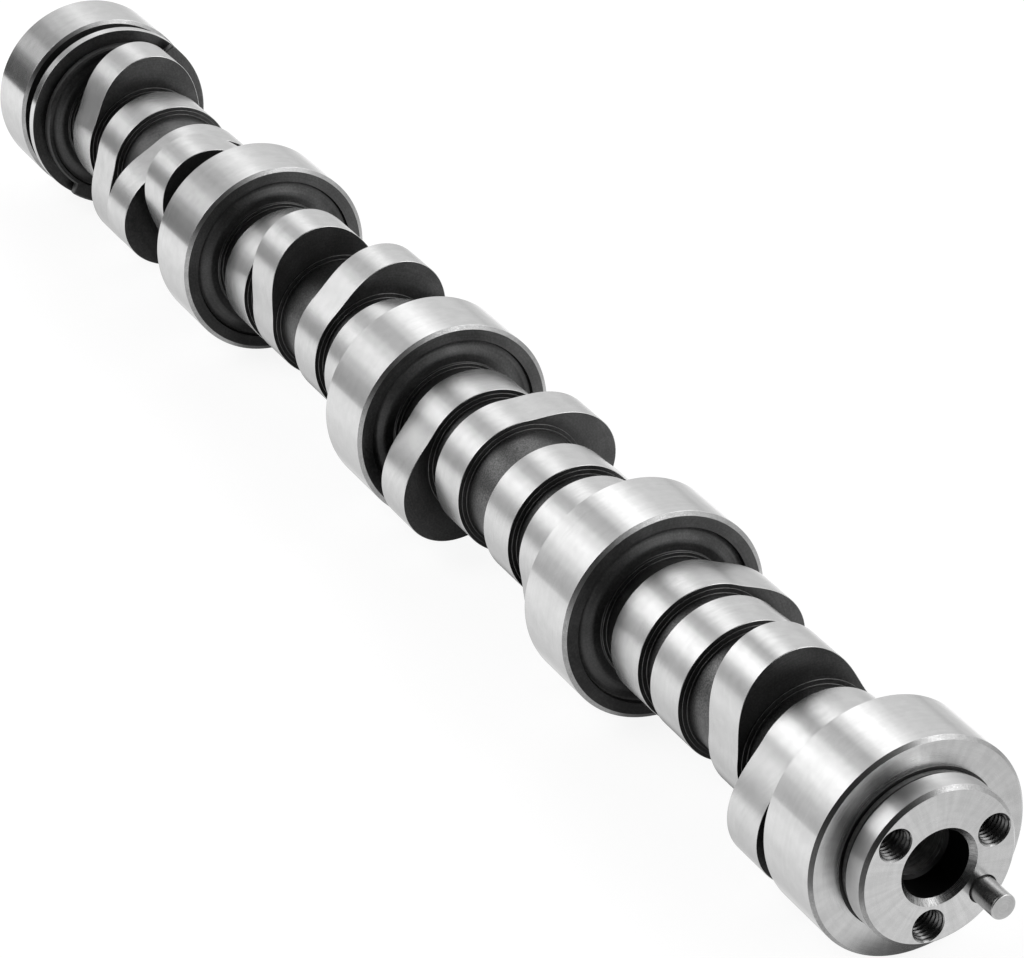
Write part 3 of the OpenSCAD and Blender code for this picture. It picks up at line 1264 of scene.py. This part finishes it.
@dataclass
class Studio:
    """Floor, soft light and camera, in metres.

    Attributes:
        bands: Light round the shaft's axis: a clock angle in degrees with the levels of the
            light far behind the shaft, at its back, at its side and in front.
        reaches: Shares of a direction along +X between which back, side and front take over.
        brightest: Highest level that a ramp can hold.
        table: Light levels painted on the floor behind the front face, which reflections see,
            with a painted shadow under the shaft, as (y, level).
        apron: Light levels painted on the floor ahead of the front face, which reflections see,
            darker towards -Y, as (y, level).
        apron_reach: Stations between which the apron takes over, as x.
        table_half: Half the width that table and apron cover.
        edge_at_face: Where the table's edge crosses the front face, as y.
        edge_slope: How far the edge moves along Y for each metre along X.
        edge_blur: Half the width over which the edge fades.
    """

    bands: tuple[tuple[float, ...], ...] = (
        (0.0, 0.71, 0.6, 0.6, 0.9), (14.0, 0.75, 0.8, 0.7, 1.0), (30.0, 0.81, 0.85, 0.9, 1.4),
        (46.0, 0.9, 0.89, 0.8, 2.9), (55.0, 0.97, 1.06, 0.55, 2.3), (64.0, 1.05, 1.36, 0.35, 0.8),
        (72.0, 0.83, 1.72, 0.3, 0.15), (84.0, 0.68, 1.58, 0.25, 0.08),
        (92.0, 0.74, 1.07, 0.22, 0.06), (101.0, 0.66, 0.65, 0.3, 0.04),
        (112.0, 0.39, 0.74, 1.0, 0.03), (123.0, 0.24, 1.21, 3.5, 0.02),
        (134.0, 0.45, 1.5, 3.9, 0.02), (146.0, 0.49, 1.33, 3.3, 0.02),
        (158.0, 0.14, 1.0, 1.0, 0.03), (168.0, 0.02, 0.76, 0.6, 0.05),
        (180.0, 0.01, 0.64, 0.5, 0.08), (190.0, 0.01, 0.67, 0.5, 0.1),
        (215.0, 0.1, 0.8, 0.8, 0.3), (330.0, 0.8, 0.8, 0.7, 0.8),
    )
    reaches: tuple[Pair, ...] = ((-0.88, -0.778), (-0.64, -0.5), (-0.25, 0.08))
    brightest: float = 4.0
    # Painted light for reflections; the dip round y = 0 is a painted shadow of the shaft on the
    # floor.
    table: tuple[Pair, ...] = (
        (-0.6, 1.1), (-0.178, 1.03), (-0.096, 1.11), (-0.067, 1.05), (-0.041, 0.88),
        (-0.023, 0.71), (-0.017, 0.85), (-0.01, 0.22), (0.0, 0.12), (0.012, 0.2),
        (0.026, 0.95), (0.064, 1.27), (0.088, 1.21), (0.136, 0.88), (0.288, 0.71),
        (0.6, 0.75),
    )
    # Painted light for reflections ahead of the front face, darker towards -Y.
    apron: tuple[Pair, ...] = (
        (-0.6, 0.2), (-0.06, 0.22), (-0.045, 0.35), (-0.03, 0.8), (0.0, 0.96),
        (0.02, 1.02), (0.04, 0.9), (0.06, 0.82), (0.1, 0.8), (0.6, 0.6),
    )
    apron_reach: Pair = (-0.004, 0.006)
    table_half: float = 0.6
    edge_at_face: float = -0.404
    edge_slope: float = -0.31
    edge_blur: float = 0.012
    floor_shade: float = 0.2
    floor_glow: float = 0.88
    floor_size: float = 12.0
    floor_z: float = -27.5 * MM
    camera_place: tuple[float, float, float] = (0.61341, -0.42121, 0.49249)
    camera_azimuth: float = math.radians(-27.380)
    camera_elevation: float = math.radians(28.305)
    camera_reach: float = 50.0
    focal_px: float = 4112.0
    frame_px: float = 1024.0
    sensor_mm: float = 36.0

    def ramp(self, graph: Graph, place: Value, stops: Sequence[Pair]) -> Socket:
        """Levels that are eased from stop to stop.

        Args:
            graph: Tree that takes the nodes.
            place: Socket with the place on the ramp, from 0 to 1.
            stops: Place and level of each stop.

        Returns:
            The level.
        """
        node = graph.node("ValToRGB", Fac=place)
        node.color_ramp.interpolation = "EASE"
        elements = node.color_ramp.elements
        while len(elements) < len(stops):
            elements.new(1.0)
        for element, (position, level) in zip(elements, stops):
            element.position = position
            element.color = (*[level / self.brightest] * 3, 1.0)
        return graph.math("MULTIPLY", node.outputs[0], self.brightest)

    def world(self) -> None:
        """Light the studio by direction.

        The clock angle of a direction picks its level from four ramps of bands, and the share
        of the direction along the shaft blends them, from far through back and side to front.
        The camera sees plain white.
        """
        graph = Graph(bpy.data.worlds.new("studio"))
        direction = graph.node("TexCoord").outputs["Generated"]
        x, y, z = graph.node("SeparateXYZ", Vector=direction).outputs
        turn = graph.math("FRACT", graph.math("DIVIDE", graph.math("ARCTAN2", z, y), FULL_TURN))
        clocks, *levels = zip(*self.bands, (360.0, *self.bands[0][1:]))
        places = [clock / 360.0 for clock in clocks]
        level, *others = (self.ramp(graph, turn, list(zip(places, line))) for line in levels)
        for other, (low, high) in zip(others, self.reaches):
            level = graph.blend(level, other, graph.span(x, low, high))
        level = graph.blend(level, 1.0, graph.node("LightPath").outputs["Is Camera Ray"])
        light = graph.node("Background", Color=graph.grey(level), Strength=1.0)
        graph.node("OutputWorld", Surface=light.outputs[0])
        bpy.context.scene.world = graph.owner

    def floor_finish(self) -> Material:
        """White finish of the floor.

        The camera sees the floor's soft shadow, lifted to white by a glow. Reflections see a
        painted
        glow instead: the table's light levels across the shaft, with a painted shadow under it,
        those of the apron from the front face on, and past the table's slanted edge the studio
        behind it.

        Returns:
            The material.
        """
        graph = Graph(bpy.data.materials.new("white_floor"))
        place = graph.node("TexCoord").outputs["Object"]
        x, y, _ = graph.node("SeparateXYZ", Vector=place).outputs
        path = graph.node("LightPath").outputs
        matt = graph.node("BsdfDiffuse", Color=(*[self.floor_shade] * 3, 1.0))
        glow = graph.math("MULTIPLY", path["Is Camera Ray"], self.floor_glow)
        glow = graph.node("Emission", Strength=glow)
        seen = graph.join("AddShader", matt.outputs[0], glow.outputs[0])
        width = 2.0 * self.table_half
        across = graph.math("ADD", graph.math("DIVIDE", y, width), 0.5)
        table, apron = (
            self.ramp(graph, across, [(y0 / width + 0.5, level) for y0, level in stops])
            for stops in (self.table, self.apron)
        )
        level = graph.blend(table, apron, graph.span(x, *self.apron_reach))
        # Glossy rays see this glow: light levels and a shadow under the shaft, painted on the
        # floor.
        light = graph.node("Emission", Strength=level)
        clear = graph.node("BsdfTransparent")
        edge = graph.math("SUBTRACT", y, graph.math("MULTIPLY", x, self.edge_slope))
        low, high = self.edge_at_face - self.edge_blur, self.edge_at_face + self.edge_blur
        beyond = graph.span(edge, low, high, 1.0, 0.0)
        mirrored = graph.join("MixShader", light.outputs[0], clear.outputs[0], Fac=beyond)
        surface = graph.join("MixShader", seen, mirrored, Fac=path["Is Glossy Ray"])
        graph.node("OutputMaterial", Surface=surface)
        return graph.owner

    def floor(self) -> None:
        """Lay the floor under the shaft's journals."""
        half = self.floor_size / 2.0
        corners = [(-half, -half), (half, -half), (half, half), (-half, half)]
        mesh = bpy.data.meshes.new("floor")
        mesh.from_pydata([(x, y, self.floor_z) for x, y in corners], [], [(0, 1, 2, 3)])
        mesh.materials.append(self.floor_finish())
        floor = bpy.data.objects.new("floor", mesh)
        bpy.context.scene.collection.objects.link(floor)

    def camera(self) -> None:
        """Set up the camera from where it stands, its azimuth, its elevation and its lens."""
        data = bpy.data.cameras.new("camera")
        data.sensor_width = self.sensor_mm
        data.sensor_fit = "HORIZONTAL"
        data.lens = self.focal_px / self.frame_px * self.sensor_mm
        data.clip_end = self.camera_reach
        camera = bpy.data.objects.new("camera", data)
        camera.location = self.camera_place
        camera.rotation_euler = (
            math.pi / 2.0 - self.camera_elevation, 0.0, math.pi / 2.0 + self.camera_azimuth
        )
        bpy.context.scene.collection.objects.link(camera)
        bpy.context.scene.camera = camera

    def build(self) -> None:
        """Set the whole studio up."""
        self.world()
        self.floor()
        self.camera()
        bpy.context.scene.view_settings.view_transform = "Standard"


def finishes() -> list[Material]:
    """Materials of the shaft, in the order of its finishes.

    Returns:
        One material for each finish.
    """
    steels = {
        Finish.GROUND: GroundSteel(),
        Finish.LOBE: GroundSteel("lobe_steel", rough=0.22, brushed=0.87),
        Finish.BOSS: GroundSteel("boss_steel", rough=0.3, brushed=1.0),
        Finish.TURNED: TurnedSteel(),
        Finish.CHAMFER: CutEdge(),
        Finish.COATED: DarkCoat(),
        Finish.WORN: DarkCoat("worn_coat", shade=0.22, rough=0.32),
        # Near-black coat in the counterbore, which paints the shade inside the bore.
        Finish.SOOT: DarkCoat("bore_painted_shade", shade=0.012, rough=0.45),
        Finish.NECK: DarkCoat("neck_coat", shade=0.42, rough=0.5),
        Finish.CORE: CoreSkin(),
        Finish.BORE: DrilledSteel(),
        Finish.THREAD: DrilledSteel("thread_steel", shade=0.18, rough=0.26, metallic=1.0),
        Finish.MOUTH: MouthSteel(),
    }
    return [steels[finish].material() for finish in Finish]


def main() -> None:
    """Build the studio, the shaft and the dowel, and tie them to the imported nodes."""
    logging.basicConfig(level=logging.INFO, format="%(name)s: %(message)s")
    Studio().build()
    shaft = Camshaft()
    pieces = {
        "camshaft": (shaft.build(finishes()), "ground_steel"),
        "dowel_pin": (Dowel().build(shaft), "pin_steel"),
    }
    for node, (piece, slot) in pieces.items():
        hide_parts(node)
        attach(piece, "root")
        log.info("%s: %d faces", piece.name, len(piece.data.polygons))


if __name__ == "__main__":
    main()
